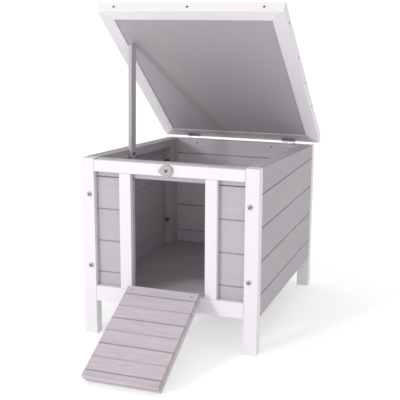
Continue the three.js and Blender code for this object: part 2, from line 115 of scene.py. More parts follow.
def makeWoodFigure():
    # the grain runs along X of the vector it is given; Shift gives each board a cut of its own
    tree, given, out = newGroup(
        "woodFigure",
        [("Vector", "NodeSocketVector", None), ("Shift", "NodeSocketFloat", 0.0),
         ("Stretch", "NodeSocketFloat", 0.05)],
        [("Fibre", "NodeSocketFloat"), ("Rings", "NodeSocketFloat"), ("Knot", "NodeSocketFloat")],
    )
    step = addNode(tree, "ShaderNodeCombineXYZ", (-5, -1))
    wire(tree, maths(tree, "MULTIPLY", given.outputs["Shift"], 7.3, place=(-6, -1)), step.inputs[0])
    wire(tree, maths(tree, "MULTIPLY", given.outputs["Shift"], 2.9, place=(-6, -2)), step.inputs[1])
    moved = addNode(tree, "ShaderNodeVectorMath", (-4, 0), operation="ADD")
    wire(tree, given.outputs["Vector"], moved.inputs[0])
    wire(tree, step.outputs[0], moved.inputs[1])
    scale = addNode(tree, "ShaderNodeCombineXYZ", (-4, -1))
    wire(tree, given.outputs["Stretch"], scale.inputs[0])
    scale.inputs[1].default_value = 1
    scale.inputs[2].default_value = 1
    drawn = addNode(tree, "ShaderNodeVectorMath", (-3, 0), operation="MULTIPLY")
    wire(tree, moved.outputs[0], drawn.inputs[0])
    wire(tree, scale.outputs[0], drawn.inputs[1])
    fibre = addNode(tree, "ShaderNodeTexNoise", (-2, 1))
    fibre.inputs["Scale"].default_value = 420
    fibre.inputs["Detail"].default_value = 5
    fibre.inputs["Roughness"].default_value = 0.62
    wire(tree, drawn.outputs[0], fibre.inputs["Vector"])
    wire(tree, spread(tree, fibre.outputs[0], 0.28, 0.72, place=(0, 1)), out.inputs["Fibre"])
    field = addNode(tree, "ShaderNodeTexNoise", (-2, 0))
    field.inputs["Scale"].default_value = 26
    field.inputs["Detail"].default_value = 2
    field.inputs["Distortion"].default_value = 0.5
    wire(tree, drawn.outputs[0], field.inputs["Vector"])
    knotSpace = addNode(tree, "ShaderNodeVectorMath", (-3, -2), operation="MULTIPLY")
    wire(tree, moved.outputs[0], knotSpace.inputs[0])
    knotSpace.inputs[1].default_value = (0.55, 1, 1)
    cells = addNode(tree, "ShaderNodeTexVoronoi", (-2, -2))
    cells.inputs["Scale"].default_value = 7.5
    wire(tree, knotSpace.outputs[0], cells.inputs["Vector"])
    near = spread(tree, cells.outputs["Distance"], 0.10, 0.0, place=(-1, -2))
    chosen = addNode(tree, "ShaderNodeSeparateColor", (-1, -3))
    wire(tree, cells.outputs["Color"], chosen.inputs[0])
    some = maths(tree, "GREATER_THAN", chosen.outputs[0], 0.45, place=(0, -3))
    knot = maths(tree, "MULTIPLY", near, some, place=(1, -2), clamp=True)
    wire(tree, knot, out.inputs["Knot"])
    around = spread(tree, cells.outputs["Distance"], 0.45, 0.0, 0.0, 0.35, place=(-1, -1))
    push = maths(tree, "MULTIPLY", around, some, place=(0, -1))    # the rings bend round the knots
    bent = maths(tree, "ADD", field.outputs[0], push, place=(1, 0))
    wave = maths(tree, "SINE", maths(tree, "MULTIPLY", bent, 62, place=(2, 0)), place=(3, 0))
    wire(tree, spread(tree, wave, -1, 1, place=(4, 0)), out.inputs["Rings"])
    return tree


def makeBoardTones():
    # a different number for each board of a wall, from the height of the point on it
    tree, given, out = newGroup(
        "boardTones",
        [("Height", "NodeSocketFloat", 0.0), ("Start", "NodeSocketFloat", 0.0),
         ("Pitch", "NodeSocketFloat", 1.0)],
        [("Tone", "NodeSocketFloat"), ("Tint", "NodeSocketFloat"), ("Seam", "NodeSocketFloat")],
    )
    lift = maths(tree, "SUBTRACT", given.outputs["Height"], given.outputs["Start"], place=(-4, 0))
    rows = maths(tree, "DIVIDE", lift, given.outputs["Pitch"], place=(-3, 0))
    row = maths(tree, "FLOOR", rows, place=(-2, 0))
    off = maths(tree, "PINGPONG", rows, 0.5, place=(-2, 1))
    away = maths(tree, "MULTIPLY", off, given.outputs["Pitch"], place=(-1, 1))
    wire(tree, spread(tree, away, 0.0024, 0.0004, place=(0, 1)), out.inputs["Seam"])
    dice = addNode(tree, "ShaderNodeTexWhiteNoise", (-1, 0), noise_dimensions="1D")
    wire(tree, maths(tree, "ADD", row, 0.37, place=(-2, -1)), dice.inputs["W"])
    wire(tree, dice.outputs["Value"], out.inputs["Tone"])
    again = addNode(tree, "ShaderNodeTexWhiteNoise", (-1, -2), noise_dimensions="1D")
    wire(tree, maths(tree, "ADD", row, 11.8, place=(-2, -2)), again.inputs["W"])
    wire(tree, again.outputs["Value"], out.inputs["Tint"])
    return tree


def makeEdgeWear():
    # rubbed spots along the rounded edges, which carry a value of 1 in the attribute "edge"
    tree, given, out = newGroup(
        "edgeWear",
        [("Vector", "NodeSocketVector", None), ("Amount", "NodeSocketFloat", 0.5)],
        [("Mask", "NodeSocketFloat")],
    )
    edge = addNode(tree, "ShaderNodeAttribute", (-3, 1), attribute_name="edge")
    rub = addNode(tree, "ShaderNodeTexNoise", (-3, 0))
    rub.inputs["Scale"].default_value = 34
    rub.inputs["Detail"].default_value = 6
    rub.inputs["Roughness"].default_value = 0.7
    wire(tree, given.outputs["Vector"], rub.inputs["Vector"])
    lower = maths(tree, "MULTIPLY", given.outputs["Amount"], 0.5, place=(-3, -1))
    limit = maths(tree, "SUBTRACT", 0.86, lower, place=(-2, -1))
    above = maths(tree, "SUBTRACT", rub.outputs[0], limit, place=(-1, 0))
    spots = maths(tree, "MULTIPLY", above, 9, place=(0, 0), clamp=True)
    wire(tree, maths(tree, "MULTIPLY", spots, edge.outputs["Fac"], place=(1, 0)), out.inputs["Mask"])
    return tree


def makeHandling():
    # broad faint smudges and fine specks
    tree, given, out = newGroup(
        "handling",
        [("Vector", "NodeSocketVector", None)],
        [("Smudge", "NodeSocketFloat"), ("Speck", "NodeSocketFloat")],
    )
    broad = addNode(tree, "ShaderNodeTexNoise", (-2, 0))
    broad.inputs["Scale"].default_value = 6.5
    broad.inputs["Detail"].default_value = 4
    wire(tree, given.outputs["Vector"], broad.inputs["Vector"])
    wire(tree, spread(tree, broad.outputs[0], 0.3, 0.7, place=(0, 0)), out.inputs["Smudge"])
    fine = addNode(tree, "ShaderNodeTexNoise", (-2, -1))
    fine.inputs["Scale"].default_value = 900
    fine.inputs["Detail"].default_value = 2
    wire(tree, given.outputs["Vector"], fine.inputs["Vector"])
    wire(tree, spread(tree, fine.outputs[0], 0.35, 0.75, place=(0, -1)), out.inputs["Speck"])
    return tree


woodFigure = makeWoodFigure()
boardTones = makeBoardTones()
edgeWear = makeEdgeWear()
handling = makeHandling()
print("shared effects made")


# finishes

turns = {                                  # turns that bring the grain of a piece onto X
    "acrossX": (0, 0, 0),
    "alongY": (0, 0, -math.pi / 2),
    "upright": (0, math.pi / 2, 0),
    "lidAcross": (lidTilt, 0, 0),
    "lidAlong": (lidTilt, 0, -math.pi / 2),
    "rampAcross": (-rampTurn, 0, 0),
    "rampAlong": (-rampTurn, math.pi / 2, 0),
}


def useGroup(tree, group, place, **links):
    node = addNode(tree, "ShaderNodeGroup", place)
    node.node_tree = group
    for name, value in links.items():
        socket = node.inputs[name]
        if hasattr(value, "is_output"):
            wire(tree, value, socket)
        else:
            socket.default_value = value
    return node


def startMaterial(name):
    material = bpy.data.materials.new(name)
    material.use_nodes = True
    tree = material.node_tree
    return material, tree, tree.nodes["Principled BSDF"]


def addBump(tree, shader, height, strength, distance, place):
    bump = addNode(tree, "ShaderNodeBump", place)
    bump.inputs["Strength"].default_value = strength
    bump.inputs["Distance"].default_value = distance
    wire(tree, height, bump.inputs["Height"])
    wire(tree, bump.outputs[0], shader.inputs["Normal"])


def placedVector(tree, turn):
    where = addNode(tree, "ShaderNodeTexCoord", (-9, 0))
    mapping = addNode(tree, "ShaderNodeMapping", (-8, 0))
    mapping.inputs["Rotation"].default_value = turn
    wire(tree, where.outputs["Object"], mapping.inputs["Vector"])
    return mapping.outputs[0]


def layOver(tree, mask, weight, under, over, place):
    # lays one colour over another where the mask is strong
    amount = maths(tree, "MULTIPLY", mask, weight, place=(place[0] - 1, place[1] - 1))
    return blendColours(tree, amount, under, over, place)


def paintedLightPool(tree, vector, smudge, look, colour):
    # painted pool of light round one point, where light falls in through the doorway
    away = addNode(tree, "ShaderNodeVectorMath", (1, -6), operation="DISTANCE")
    wire(tree, vector, away.inputs[0])
    away.inputs[1].default_value = look["litPoolAt"]
    lightPool = spread(tree, away.outputs["Value"], look["litPoolReach"], look["litPoolReach"] * 0.25, place=(2, -6))
    uneven = spread(tree, smudge, 0, 1, 0.6, 1, place=(2, -7))
    amount = maths(tree, "MULTIPLY", lightPool, uneven, place=(3, -6))
    return blendColours(tree, amount, colour, look["litPoolColour"], (4, 3))


def darkEndsAndLipShade(tree, vector, look, colour):
    # the sawn ends are darker, and painted shade lies in the groove under the lip at the tip
    along = addNode(tree, "ShaderNodeSeparateXYZ", (1, 3))
    wire(tree, vector, along.inputs[0])
    fromMiddle = maths(tree, "ABSOLUTE", along.outputs["X"], place=(2, 3))
    atEnd = maths(tree, "GREATER_THAN", fromMiddle, look["endFrom"], place=(3, 3))
    colour = layOver(tree, atEnd, look["endDarkening"], colour, look["shade"], (4, 2))
    under = spread(tree, along.outputs["Y"], look["lipLow"] + look["lipFade"], look["lipLow"], place=(2, 4))
    atLip = maths(tree, "GREATER_THAN", along.outputs["Z"], look["lipFrom"], place=(2, 5))
    lip = maths(tree, "MULTIPLY", under, atLip, place=(3, 4))
    return layOver(tree, lip, look["lipPaintedShade"], colour, look["shade"], (5, 2))


def paintedWood(name, look, turn, rows=None):
    # paint or stain over soft wood: the grain shows faintly in the colour and as fine ridges
    material, tree, shader = startMaterial(name)
    vector = placedVector(tree, turns[turn])
    tone = 0.31
    if rows:
        parts = addNode(tree, "ShaderNodeSeparateXYZ", (-7, -2))
        wire(tree, vector, parts.inputs[0])
        height = parts.outputs[rows["axis"]]
        tones = useGroup(tree, boardTones, (-6, -2), Height=height, Start=rows["start"], Pitch=rows["pitch"])
        tone = tones.outputs["Tone"]
    figure = useGroup(tree, woodFigure, (-5, 0), Vector=vector, Shift=tone, Stretch=look["stretch"])
    marks = useGroup(tree, handling, (-5, -3), Vector=vector)
    wear = useGroup(tree, edgeWear, (-5, -4), Vector=vector, Amount=look["wear"])
    fibre, rings, knot = figure.outputs
    smudge, speck = marks.outputs

    colour = layOver(tree, fibre, look["fibre"], look["base"], look["grain"], (-3, 1))
    colour = layOver(tree, rings, look["rings"], colour, look["grain"], (-2, 1))
    if rows:
        light = spread(tree, tone, 0, 1, -rows["vary"], rows["vary"], place=(-4, -2))
        darkOrLight = addNode(tree, "ShaderNodeHueSaturation", (-1, 1))
        wire(tree, maths(tree, "ADD", light, 1, place=(-3, -2)), darkOrLight.inputs["Value"])
        wire(tree, colour, darkOrLight.inputs["Color"])
        pinkOrBlue = blendColours(tree, tones.outputs["Tint"], pinkTint, blueTint, (-1, 0))
        colour = blendColours(tree, rows["tint"], darkOrLight.outputs[0], pinkOrBlue, (0, 1), "SOFT_LIGHT")
    colour = layOver(tree, knot, look["knots"], colour, look["knotColour"], (1, 1))
    colour = layOver(tree, smudge, look["smudge"], colour, look["grain"], (2, 1))
    colour = blendColours(tree, wear.outputs["Mask"], colour, look["bare"], (3, 1))
    # a painted pool of light on the floor by the doorway
    if "litPoolAt" in look:
        colour = paintedLightPool(tree, vector, smudge, look, colour)
    # darker sawn ends, and painted shade under the lip at the ramp's tip
    if "endFrom" in look:
        colour = darkEndsAndLipShade(tree, vector, look, colour)
    if rows:
        joint = maths(tree, "MULTIPLY", tones.outputs["Seam"], rows["seam"], place=(3, 0))
        if "outerFrom" in rows:     # the joints are darker outside, where dust gathers in them
            fromMiddle = maths(tree, "ABSOLUTE", parts.outputs["Y"], place=(1, -5))
            outer = maths(tree, "GREATER_THAN", fromMiddle, rows["outerFrom"], place=(2, -5))
            joint = maths(tree, "MULTIPLY", joint, outer, place=(3, -5))
        colour = blendColours(tree, joint, colour, look["shade"], (4, 1))
    if rows and "between" in rows:  # a fainter line half way across each board
        middle = rows["start"] + rows["pitch"] / 2
        halfWay = useGroup(tree, boardTones, (-6, -5), Height=height, Start=middle, Pitch=rows["pitch"])
        colour = layOver(tree, halfWay.outputs["Seam"], rows["between"], colour, look["shade"], (5, 1))
    wire(tree, colour, shader.inputs["Base Color"])

    rough = maths(tree, "MULTIPLY_ADD", fibre, 0.12, look["rough"], place=(3, -1))
    rough = maths(tree, "MULTIPLY_ADD", smudge, 0.08, rough, place=(4, -1))
    wire(tree, rough, shader.inputs["Roughness"])
    ridges = maths(tree, "MULTIPLY", fibre, 0.6, place=(2, -3))
    waves = maths(tree, "MULTIPLY", rings, 0.35, place=(2, -4))
    grains = maths(tree, "MULTIPLY", speck, 0.2, place=(3, -4))
    relief = maths(tree, "ADD", maths(tree, "ADD", ridges, waves, place=(3, -3)), grains, place=(4, -3))
    addBump(tree, shader, relief, look["ridge"], 0.0005, (5, -3))
    shader.inputs["Specular IOR Level"].default_value = look["gloss"]
    return material


def metalFinish(name, look):
    material, tree, shader = startMaterial(name)
    vector = placedVector(tree, (0, 0, 0))
    marks = useGroup(tree, handling, (-5, 0), Vector=vector)
    streak = addNode(tree, "ShaderNodeTexNoise", (-5, -2))
    streak.inputs["Scale"].default_value = look["streakScale"]
    streak.inputs["Detail"].default_value = 6
    wire(tree, vector, streak.inputs["Vector"])
    mix = spread(tree, streak.outputs[0], 0.3, 0.75, place=(-3, -2))
    colour = blendColours(tree, mix, look["base"], look["dull"], (-1, 1))
    wire(tree, colour, shader.inputs["Base Color"])
    shader.inputs["Metallic"].default_value = 1
    rough = maths(tree, "MULTIPLY_ADD", mix, 0.22, look["rough"], place=(0, -1))
    wire(tree, rough, shader.inputs["Roughness"])
    addBump(tree, shader, marks.outputs["Speck"], 0.2, 0.0002, (1, -2))
    return material


def plasticFinish(name, look):
    material, tree, shader = startMaterial(name)
    vector = placedVector(tree, (0, 0, 0))
    marks = useGroup(tree, handling, (-5, 0), Vector=vector)
    wear = useGroup(tree, edgeWear, (-5, -2), Vector=vector, Amount=0.6)
    colour = layOver(tree, marks.outputs["Smudge"], 0.4, look["base"], look["dull"], (-2, 1))
    colour = blendColours(tree, wear.outputs["Mask"], colour, look["rubbed"], (-1, 1))
    wire(tree, colour, shader.inputs["Base Color"])
    rough = spread(tree, marks.outputs["Speck"], 0, 1, look["rough"], look["rough"] + 0.15, place=(-2, -1))
    wire(tree, rough, shader.inputs["Roughness"])
    addBump(tree, shader, marks.outputs["Speck"], 0.3, 0.0002, (1, -2))
    return material


white = {
    "base": (0.75, 0.728, 0.762), "grain": (0.67, 0.645, 0.68), "shade": (0.4, 0.38, 0.4),
    "bare": (0.55, 0.47, 0.41), "knotColour": (0.62, 0.57, 0.56),
    "stretch": 0.05, "fibre": 0.25, "rings": 0.07, "knots": 0.25, "smudge": 0.12, "wear": 0.42,
    "rough": 0.42, "ridge": 0.35, "gloss": 0.45,
}
grey = {
    "base": (0.472, 0.441, 0.468), "grain": (0.385, 0.355, 0.378), "shade": (0.17, 0.15, 0.165),
    "bare": (0.36, 0.31, 0.28), "knotColour": (0.25, 0.21, 0.21),
    "stretch": 0.05, "fibre": 0.5, "rings": 0.14, "knots": 0.35, "smudge": 0.15, "wear": 0.5,
    "rough": 0.6, "ridge": 0.45, "gloss": 0.3,
}
pinkTint, blueTint = (0.60, 0.46, 0.46), (0.44, 0.5, 0.57)     # the boards' stain drifts between these

# the posts and stiles take a darker copy of the white: painted shade
postWhitePaintedShade = {**white, "base": (0.735, 0.712, 0.747)}
# the lid's front member takes a lighter copy of the white: painted light on its front face
lidFrontWhitePaintedLight = {**white, "base": (0.81, 0.79, 0.815)}
# the rear wall takes a lighter copy of the grey: painted light on the inside of the rear wall
rearGreyPaintedLight = {**grey, "base": (0.60, 0.56, 0.595)}
# the side walls take a darker copy of the grey: painted shade on the sides that face away from the light
sideGreyPaintedShade = {**grey, "base": (0.42, 0.393, 0.42)}
lidRearGrey = {**grey, "base": (0.58, 0.53, 0.55)}
stayGrey = {**grey, "base": (0.50, 0.487, 0.505), "wear": 0.6}
lidGrey = {
    **grey, "base": (0.435, 0.40, 0.42), "grain": (0.35, 0.345, 0.37), "rings": 0.08, "knots": 0.15,
    "smudge": 0.3, "rough": 0.55,
}
floorLow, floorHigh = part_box("floor_boards")
# the floor's grey is darkened as painted shade for the dim inside of the hutch, and it carries a painted pool
# of light by the doorway
floorGreyPaintedShadeAndLight = {
    **grey, "base": (0.32, 0.295, 0.315), "grain": (0.26, 0.24, 0.255),
    "litPoolAt": (0.055, floorLow[1] + 0.02, floorHigh[2]), "litPoolReach": 0.17, "litPoolColour": (0.78, 0.74, 0.76),
}
rampGrey = {
    **grey, "base": (0.60, 0.555, 0.59), "grain": (0.41, 0.365, 0.39), "rings": 0.30, "fibre": 0.6,
    "knots": 0.8, "ridge": 0.6,
}
# the cleat takes a darker copy of the ramp's grey: painted shade on the lower lip under the deck's nose
cleatGreyPaintedShade = {**rampGrey, "base": (0.53, 0.485, 0.51)}

rampPin = jointAt["ramp_hinge"]
rampDown = Vector((0, -math.sin(rampTurn), math.cos(rampTurn)))    # from the hinge towards the tip
rampIn = Vector((0, math.cos(rampTurn), math.sin(rampTurn)))       # out of the face one walks on


def alongRamp(point):
    return (Vector(point) - rampPin).dot(rampDown)


def farthestDown(node):
    return max(alongRamp(vert.co) for vert in bpy.data.objects[node].data.vertices)


deckEnd, cleatEnd = farthestDown("ramp_deck"), farthestDown("ramp_cleat")
# the deck's look: darker sawn ends, and a band of painted shade under the lip at its tip
deckGrey = {
    **rampGrey, "endFrom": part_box("ramp_deck")[1][0] - 0.0004, "endDarkening": 0.32,
    "lipLow": rampPin.dot(rampIn) + 0.0115, "lipFade": 0.0035, "lipPaintedShade": 0.6,
    "lipFrom": rampPin.dot(rampDown) + deckEnd - 0.006,
}

# rows of boards: start is the height of one joint between boards
wallRows = {"axis": "Z", "pitch": 0.0716, "vary": 0.03, "tint": 0.12, "seam": 0.62}
frontRows = {**wallRows, "start": 0.1436}
rearRows = {**wallRows, "start": 0.1207}
sideRows = {**wallRows, "start": 0.1286, "outerFrom": 0.195}
floorRows = {
    "axis": "Y", "start": floorLow[1] + 0.1027, "pitch": 0.091, "vary": 0.04, "tint": 0.2, "seam": 0.5,
}
rampRows = {
    "axis": "Z", "start": rampPin.dot(rampDown) + 0.028, "pitch": 0.07, "vary": 0.03, "tint": 0.32,
    "seam": 0.7, "between": 0.4,
}

zincLook = {"base": (0.72, 0.73, 0.76), "dull": (0.42, 0.43, 0.45), "streakScale": 160, "rough": 0.22}
darkLook = {"base": (0.20, 0.20, 0.21), "dull": (0.08, 0.08, 0.09), "streakScale": 240, "rough": 0.4}
boltLook = {"base": (0.55, 0.56, 0.59), "dull": (0.26, 0.27, 0.29), "streakScale": 200, "rough": 0.24}
copperLook = {"base": (0.25, 0.13, 0.10), "dull": (0.14, 0.07, 0.055), "streakScale": 260, "rough": 0.3}
plateLook = {
    "base": (0.41, 0.38, 0.40), "dull": (0.34, 0.315, 0.33), "rubbed": (0.58, 0.55, 0.56), "rough": 0.4,
}

finishes = {
    "whiteUprightPaintedShade": paintedWood("whiteUprightPaintedShade", postWhitePaintedShade, "upright"),
    "whiteAcross": paintedWood("whiteAcross", white, "acrossX"),
    "whiteLidAcrossPaintedLight": paintedWood("whiteLidAcrossPaintedLight", lidFrontWhitePaintedLight, "lidAcross"),
    "whiteLidAlong": paintedWood("whiteLidAlong", white, "lidAlong"),
    "greyLidAcross": paintedWood("greyLidAcross", lidRearGrey, "lidAcross"),
    "greyFront": paintedWood("greyFront", grey, "acrossX", frontRows),
    "greyRearPaintedLight": paintedWood("greyRearPaintedLight", rearGreyPaintedLight, "acrossX", rearRows),
    "greySidePaintedShade": paintedWood("greySidePaintedShade", sideGreyPaintedShade, "alongY", sideRows),
    "greyUpright": paintedWood("greyUpright", grey, "upright"),
    "greyAlong": paintedWood("greyAlong", grey, "alongY"),
    "greyFloorPaintedShadeAndLight": paintedWood("greyFloorPaintedShadeAndLight", floorGreyPaintedShadeAndLight, "acrossX", floorRows),
    "lidPanel": paintedWood("lidPanel", lidGrey, "lidAlong"),
    "stayGrey": paintedWood("stayGrey", stayGrey, "upright"),
    "rampDeck": paintedWood("rampDeck", deckGrey, "rampAcross", rampRows),
    "rampAlong": paintedWood("rampAlong", rampGrey, "rampAlong"),
    "rampAcross": paintedWood("rampAcross", cleatGreyPaintedShade, "rampAcross"),
    "zinc": metalFinish("zinc", zincLook),
    "zincDark": metalFinish("zincDark", darkLook),
    "zincBolt": metalFinish("zincBolt", boltLook),
    "copper": metalFinish("copper", copperLook),
    "buttonGrey": plasticFinish("buttonGrey", plateLook),
}
print("finishes made:", len(finishes))


# wooden pieces: the sawn solids with rounded, slightly rubbed edges

wood = {"radius": 0.0009, "segments": 2, "shortest": 0.004, "sharp": math.radians(25)}


def nodeMesh(node):
    source = bpy.data.objects[node]
    bm = bmesh.new()
    bm.from_mesh(source.data)
    bmesh.ops.remove_doubles(bm, verts=bm.verts, dist=0.00001)
    bmesh.ops.dissolve_limit(bm, angle_limit=math.radians(0.5), verts=bm.verts, edges=bm.edges)
    return bm


def finishPiece(bm, name, body, finishNames, replaced=()):
    mesh = bpy.data.meshes.new(name)
    bm.to_mesh(mesh)
    bm.free()
    piece = bpy.data.objects.new(name, mesh)
    bpy.context.scene.collection.objects.link(piece)
    for finish in finishNames:
        mesh.materials.append(finishes[finish])
    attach(piece, body)
    if replaced:
        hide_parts(*replaced)
    return piece


def sharpEdges(bm):
    found = []
    for edge in bm.edges:
        if len(edge.link_faces) == 2 and edge.calc_length() > wood["shortest"]:
            if edge.calc_face_angle(0) > wood["sharp"]:
                found.append(edge)
    return found


def roundEdges(bm, edges, radius, segments):
    mark = bm.faces.layers.float.get("edge") or bm.faces.layers.float.new("edge")
    made = bmesh.ops.bevel(
        bm, geom=edges, offset=radius, offset_type="OFFSET", affect="EDGES", segments=segments,
        profile=0.5, material=-1, clamp_overlap=True,
    )
    for face in made["faces"]:
        face[mark] = 1
        face.smooth = True


def plainEdges(bm):
    # the edges that no rounding has touched yet
    mark = bm.faces.layers.float.get("edge")
    return [edge for edge in sharpEdges(bm) if all(face[mark] == 0 for face in edge.link_faces)]


def woodPiece(node, finish, tipRadius=None, tipFrom=0):
    # tipRadius rounds only the edges that lie farther down the ramp than tipFrom
    bm = nodeMesh(node)
    edges = sharpEdges(bm)
    if tipRadius:
        tip = [edge for edge in edges if all(alongRamp(vert.co) > tipFrom for vert in edge.verts)]
        roundEdges(bm, tip, tipRadius, tipLook["segments"])
        edges = plainEdges(bm)
    roundEdges(bm, edges, wood["radius"], wood["segments"])
    return finishPiece(bm, node + "_wood", bodyOf[node], [finish], (node,))


for end in ("front", "rear"):
    for hand in ("left", "right"):
        woodPiece(f"{end}_{hand}_post", "whiteUprightPaintedShade")
        woodPiece(f"{end}_{hand}_batten", "greyUpright")
    woodPiece(f"{end}_top_rail", "whiteAcross")
    woodPiece(f"{end}_bottom_rail", "whiteAcross")
woodPiece("header_board", "greyFront")
woodPiece("rear_boards", "greyRearPaintedLight")
woodPiece("floor_boards", "greyFloorPaintedShadeAndLight")
for hand in ("left", "right"):
    woodPiece(f"{hand}_stile", "whiteUprightPaintedShade")
    woodPiece(f"front_{hand}_boards", "greyFront")
    woodPiece(f"{hand}_top_batten", "greyAlong")
    woodPiece(f"lid_{hand}_member", "whiteLidAlong")
    woodPiece(f"ramp_{hand}_batten", "rampAlong")
    for row in range(1, 6):
        woodPiece(f"{hand}_board_{row}", "greySidePaintedShade")
woodPiece("lid_front_member", "whiteLidAcrossPaintedLight")
woodPiece("lid_rear_member", "greyLidAcross")
woodPiece("lid_panel", "lidPanel")
woodPiece("stay", "stayGrey")


# the two lips at the ramp's tip are nearly half round
tipLook = {"deckRadius": 0.0052, "cleatRadius": 0.0054, "reach": 0.0004, "segments": 4}
woodPiece("ramp_deck", "rampDeck", tipLook["deckRadius"], deckEnd - tipLook["reach"])
woodPiece("ramp_cleat", "rampAcross", tipLook["cleatRadius"], cleatEnd - tipLook["reach"])
print("wooden pieces made")


# bolts, screws and nails

roundSteps = 24     # sides of every round head and shank


def spunSolid(bm, profile, steps):
    # profile is (radius, height) from axis to axis, spun about Z
    verts = [bm.verts.new((radius, 0, height)) for radius, height in profile]
    edges = [bm.edges.new(pair) for pair in zip(verts, verts[1:])]
    bmesh.ops.spin(
        bm, geom=verts + edges, cent=(0, 0, 0), axis=(0, 0, 1), angle=2 * math.pi, steps=steps,
        use_merge=True,
    )
    bmesh.ops.remove_doubles(bm, verts=bm.verts, dist=0.000001)


def addPart(bm, part, place, materialIndex=None):
    # copies a finished small mesh into a bigger one
    bmesh.ops.recalc_face_normals(part, faces=part.faces)
    if materialIndex is not None:
        for face in part.faces:
            face.material_index = materialIndex
    bmesh.ops.transform(part, matrix=place, verts=part.verts)
    scratch = bpy.data.meshes.new("scratch")
    part.to_mesh(scratch)
    part.free()
    bm.from_mesh(scratch)
    bpy.data.meshes.remove(scratch)


def facing(centre, normal, spin=0.0):
    turn = Vector(normal).normalized().to_track_quat("Z", "Y").to_matrix().to_4x4()
    return Matrix.Translation(centre) @ turn @ Matrix.Rotation(spin, 4, "Z")


def screwHead(bm, centre, normal, look, spin=0.0):
    # a low domed head with a crossed slot, standing on the surface
    radius, rise = look["radius"], look["rise"]
    head = bmesh.new()
    spunSolid(head, [
        (0, -look["sink"]), (radius * 0.55, -look["sink"]), (radius, -rise * 0.2), (radius, rise * 0.35),
        (radius * 0.8, rise * 0.8), (radius * 0.4, rise), (0, rise),
    ], roundSteps)
    for face in head.faces:
        face.smooth = True
    addPart(bm, head, facing(centre, normal, spin), 0)
    for quarter in (0, 1):
        slot = bmesh.new()
        bmesh.ops.create_cube(slot, size=1)
        bmesh.ops.scale(slot, vec=(radius * 1.25, radius * 0.26, rise * 0.5), verts=slot.verts)
        bmesh.ops.bevel(
            slot, geom=slot.edges[:], offset=radius * 0.05, offset_type="OFFSET", affect="EDGES", segments=1,
            profile=0.5, material=-1,
        )
        lift = Matrix.Translation((0, 0, rise * 0.8))
        addPart(bm, slot, facing(centre, normal, spin + quarter * math.pi / 2) @ lift, 1)


def screwSet(name, body, places, look, finishNames):
    bm = bmesh.new()
    for number, (centre, normal) in enumerate(places):
        screwHead(bm, centre, normal, look, spin=number * 0.7)
    return finishPiece(bm, name, body, finishNames)


boltSizes = {
    "head": 0.0054, "rise": 0.003, "shank": 0.003, "socket": 0.0024, "nut": 0.0058, "nutHigh": 0.005,
    "end": 0.003, "chamfer": 0.0006, "nutEdge": 0.0005,
}


def boltPiece(node):
    # round head with a round socket, plain shank, chamfered hexagon nut and the end of the thread
    head, rise, shank, socket = (boltSizes[part] for part in ("head", "rise", "shank", "socket"))
    low, high = (Vector(corner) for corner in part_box(node))
    grip = high.y - low.y - rise
    outward = -1 if node.startswith("front") else 1
    seat = (low + high) / 2
    seat.y = low.y + rise if outward < 0 else high.y - rise
    place = facing(seat, (0, outward, 0))
    bm = bmesh.new()
    bolt = bmesh.new()
    spunSolid(bolt, [
        (0, rise * 0.35), (socket, rise * 0.42), (socket, rise), (head * 0.62, rise),
        (head * 0.85, rise * 0.82), (head * 0.97, rise * 0.5), (head, rise * 0.2), (head * 0.98, 0),
        (shank, 0),
        (shank, -grip + boltSizes["chamfer"]), (shank * 0.8, -grip), (0, -grip),
    ], roundSteps)
    for face in bolt.faces:
        middle = face.calc_center_median()
        inSocket = middle.z > rise * 0.3 and math.hypot(middle.x, middle.y) < socket * 1.02
        inThread = middle.z < boltSizes["end"] - grip
        face.material_index = 1 if inSocket or inThread else 0
        face.smooth = not inSocket
    addPart(bm, bolt, place)
    nut = bmesh.new()
    wide, tall = boltSizes["nut"], boltSizes["nutHigh"]
    bmesh.ops.create_cone(nut, cap_ends=True, segments=6, radius1=wide, radius2=wide, depth=tall)
    bmesh.ops.bevel(
        nut, geom=nut.edges[:], offset=boltSizes["nutEdge"], offset_type="OFFSET", affect="EDGES", segments=2,
        profile=0.5, material=-1,
    )
    lift = Matrix.Translation((0, 0, -grip + boltSizes["end"] + tall / 2))
    addPart(bm, nut, place @ lift, 1)     # nuts and thread ends are blackened, heads are bright
    return finishPiece(bm, node + "_shaped", bodyOf[node], ("zincBolt", "zincDark"), (node,))


for end in ("front", "rear"):
    for hand in ("left", "right"):
        for level in ("lower", "upper"):
            boltPiece(f"{end}_{hand}_{level}_bolt")

# lid: three screws along the front edge and four along each side edge, half way up its thickness
lidPin = jointAt["lid_hinge"]
lidBack = Vector((0, math.cos(lidTilt), -math.sin(lidTilt)))
lidUp = Vector((0, math.sin(lidTilt), math.cos(lidTilt)))
lidScrewLook = {
    "radius": 0.0029, "rise": 0.0004, "sink": 0.0012, "frontX": (-0.174, -0.002, 0.168),
    "sideAlong": (0.474, 0.352, 0.255, 0.158), "middle": 0.0131,
}
frontMember = bpy.data.objects["lid_front_member"].data
lidFrontFace = max((lidPin - vert.co).dot(lidBack) for vert in frontMember.vertices)
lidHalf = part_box("lid_right_member")[1][0]


def onLid(along, x):
    return lidPin - lidBack * along + lidUp * lidScrewLook["middle"] + Vector((x, 0, 0))


lidScrews = [(onLid(lidFrontFace, x), -lidBack) for x in lidScrewLook["frontX"]]
for along in lidScrewLook["sideAlong"]:
    for hand in (-1, 1):
        lidScrews.append((onLid(along, hand * lidHalf), (hand, 0, 0)))
screwSet("lid_screws", "lid", lidScrews, lidScrewLook, ("zincDark", "zincDark"))

